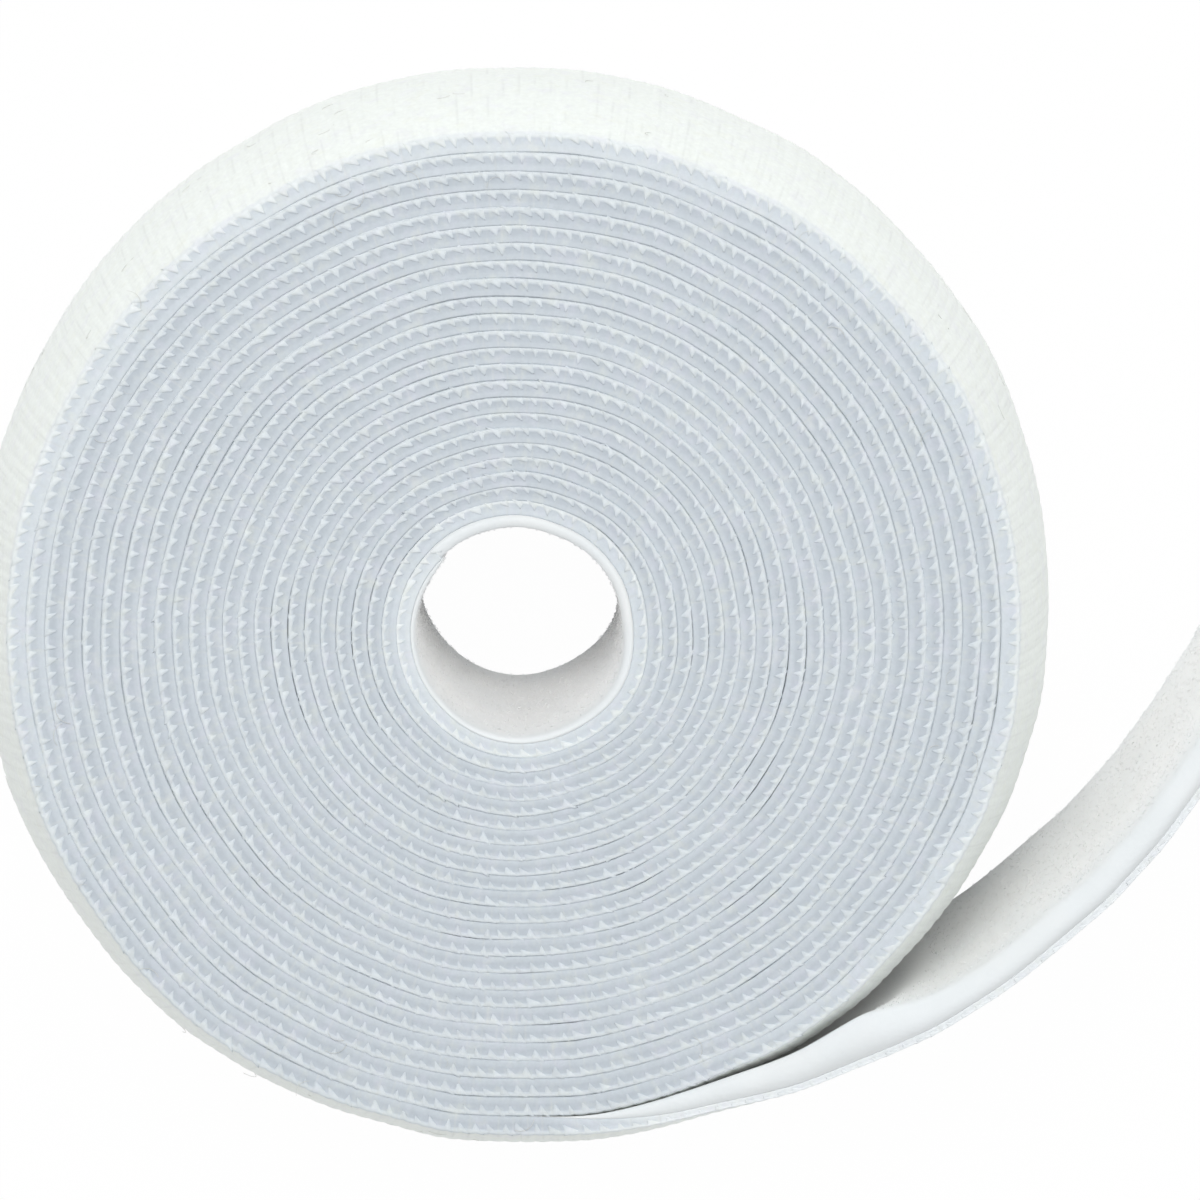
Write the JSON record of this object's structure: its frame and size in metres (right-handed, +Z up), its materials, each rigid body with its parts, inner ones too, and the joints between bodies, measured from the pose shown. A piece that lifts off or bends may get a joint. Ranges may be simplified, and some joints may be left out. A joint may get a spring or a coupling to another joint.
{
  "type": "hook and loop tape roll",
  "caption": "Flat spiral roll of white woven loop tape around an open bore, its free end standing on edge and curling away.",
  "frame": {"origin": "on the surface that the roll lies on, under the middle of the whole part, free end included", "axes": "+Z up along the roll's axis, +X along the longest extent, towards the side where the free end reaches out, +Y across"},
  "size_m": [0.095, 0.0808, 0.025],
  "materials": {
    "ground_web": "white woven nylon, fine cross ribs, matt with a faint sheen",
    "loop_pile": "soft white looped nylon pile, matt"
  },
  "bodies": {
    "roll": {"wound_web": "ground_web", "bore_pile": "loop_pile"},
    "tail_1": {"tail_web_1": "ground_web", "tail_pile_1": "loop_pile"},
    "tail_2": {"tail_web_2": "ground_web", "tail_pile_2": "loop_pile"},
    "tail_3": {"tail_web_3": "ground_web", "tail_pile_3": "loop_pile"},
    "tail_4": {"tail_web_4": "ground_web", "tail_pile_4": "loop_pile"},
    "tail_5": {"tail_web_5": "ground_web", "tail_pile_5": "loop_pile"},
    "tail_6": {"tail_web_6": "ground_web", "tail_pile_6": "loop_pile"}
  },
  "joints": [
    {"name": "tail_peel", "type": "hinge", "parent": "roll", "child": "tail_1", "pos_m": [-0.0063, -0.04013, 0.0125], "axis": [0, 0, 1], "range_deg": [-50, 0], "stiffness_Nm_per_rad": 0.002},
    {"name": "tail_curl_1", "type": "hinge", "parent": "tail_1", "child": "tail_2", "pos_m": [0.00509, -0.03867, 0.0125], "axis": [0, 0, 1], "range_deg": [-20, 3], "stiffness_Nm_per_rad": 0.002},
    {"name": "tail_curl_2", "type": "hinge", "parent": "tail_2", "child": "tail_3", "pos_m": [0.01584, -0.03488, 0.0125], "axis": [0, 0, 1], "range_deg": [-20, 3], "stiffness_Nm_per_rad": 0.002},
    {"name": "tail_curl_3", "type": "hinge", "parent": "tail_3", "child": "tail_4", "pos_m": [0.0256, -0.02928, 0.0125], "axis": [0, 0, 1], "range_deg": [-20, 3], "stiffness_Nm_per_rad": 0.002},
    {"name": "tail_curl_4", "type": "hinge", "parent": "tail_4", "child": "tail_5", "pos_m": [0.03418, -0.02225, 0.0125], "axis": [0, 0, 1], "range_deg": [-20, 3], "stiffness_Nm_per_rad": 0.002},
    {"name": "tail_curl_5", "type": "hinge", "parent": "tail_5", "child": "tail_6", "pos_m": [0.04158, -0.01409, 0.0125], "axis": [0, 0, 1], "range_deg": [-20, 3], "stiffness_Nm_per_rad": 0.002}
  ],
  "couplings": [
    {"joint": "tail_curl_2", "follows": "tail_curl_1", "ratio": 1},
    {"joint": "tail_curl_3", "follows": "tail_curl_1", "ratio": 1},
    {"joint": "tail_curl_4", "follows": "tail_curl_1", "ratio": 1},
    {"joint": "tail_curl_5", "follows": "tail_curl_1", "ratio": 1}
  ]
}
